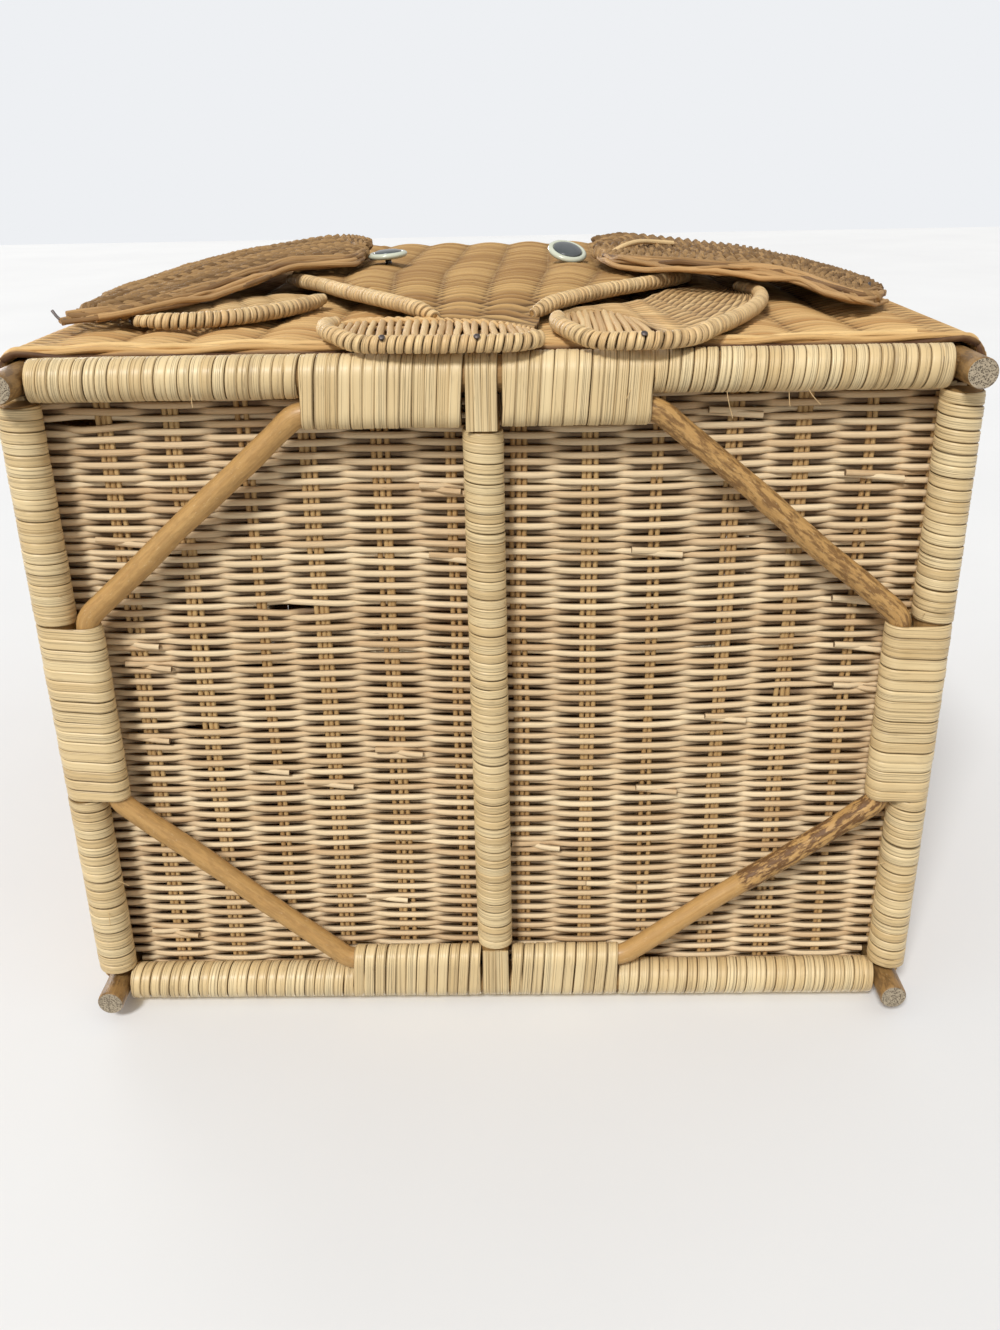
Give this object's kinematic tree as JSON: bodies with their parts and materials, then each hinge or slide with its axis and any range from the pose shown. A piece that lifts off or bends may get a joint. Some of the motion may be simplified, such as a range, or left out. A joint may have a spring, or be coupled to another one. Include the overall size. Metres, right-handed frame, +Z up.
{
  "type": "storage basket",
  "caption": "Rectangular woven storage basket on wrapped cane rails, with a hinged woven lid and a woven elephant's head on its front.",
  "frame": {"origin": "middle of the footprint, on the surface that the basket stands on", "axes": "+Z up, -Y out of the front that carries the elephant's head, +X to the right as seen from the front"},
  "size_m": [0.4396, 0.3714, 0.527],
  "materials": {
    "post": "bare cane, weathered, rough sawn ends",
    "cane": "bare golden cane with a dull natural sheen",
    "binding": "glossy straw-coloured cane strip, wound close",
    "reed": "matt round reed, plain woven",
    "wall": "fine split reed woven in broad bundles, satin",
    "figure": "fine split reed in dense bundles, satin",
    "ear": "coarse brown reed in an open twine, dull",
    "eye_white": "moulded, glossy",
    "pupil": "moulded, glossy",
    "steel": "dull grey nail heads and wire ends"
  },
  "bodies": {
    "basket": {"post_front_left": "post", "post_front_right": "post", "post_back_left": "post", "post_back_right": "post", "bottom_rail_front": "cane", "bottom_rail_right": "cane", "bottom_rail_back": "cane", "bottom_rail_left": "cane", "binding_front_left": "binding", "binding_front_right": "binding", "binding_right_front": "binding", "binding_right_back": "binding", "binding_back_right": "binding", "binding_back_left": "binding", "binding_left_back": "binding", "binding_left_front": "binding", "lashing_front_left": "binding", "lashing_front_right": "binding", "lashing_right": "binding", "lashing_back_right": "binding", "lashing_back_left": "binding", "lashing_left": "binding", "brace_front_left": "cane", "brace_front_right": "cane", "brace_back_left": "cane", "brace_back_right": "cane", "stretcher": "cane", "stretcher_binding": "binding", "stretcher_tie_front": "binding", "stretcher_tie_back": "binding", "bottom_panel": "reed", "wall_front": "wall", "wall_right": "wall", "wall_back": "wall", "wall_left": "wall", "top_rail_front": "binding", "top_rail_right": "binding", "top_rail_back": "binding", "top_rail_left": "binding", "head_panel": "figure", "head_rim_left": "figure", "head_rim_right": "figure", "trunk_rim": "figure", "foot_panel_left": "figure", "foot_panel_right": "figure", "foot_rim_left": "figure", "foot_rim_right": "figure", "ear_left": "ear", "ear_right": "ear", "eye_left": "eye_white", "eye_right": "eye_white", "pupil_left": "pupil", "pupil_right": "pupil"},
    "lid": {"lid_rail_front": "binding", "lid_rail_right": "binding", "lid_rail_back": "binding", "lid_rail_left": "binding", "lid_panel": "wall", "hinge_loop_left": "binding", "hinge_loop_right": "binding"}
  },
  "joints": [
    {"name": "lid_hinge", "type": "hinge", "parent": "basket", "child": "lid", "pos_m": [0, 0.17342, 0.50025], "axis": [-1, 0, 0], "range_deg": [0, 100]}
  ]
}
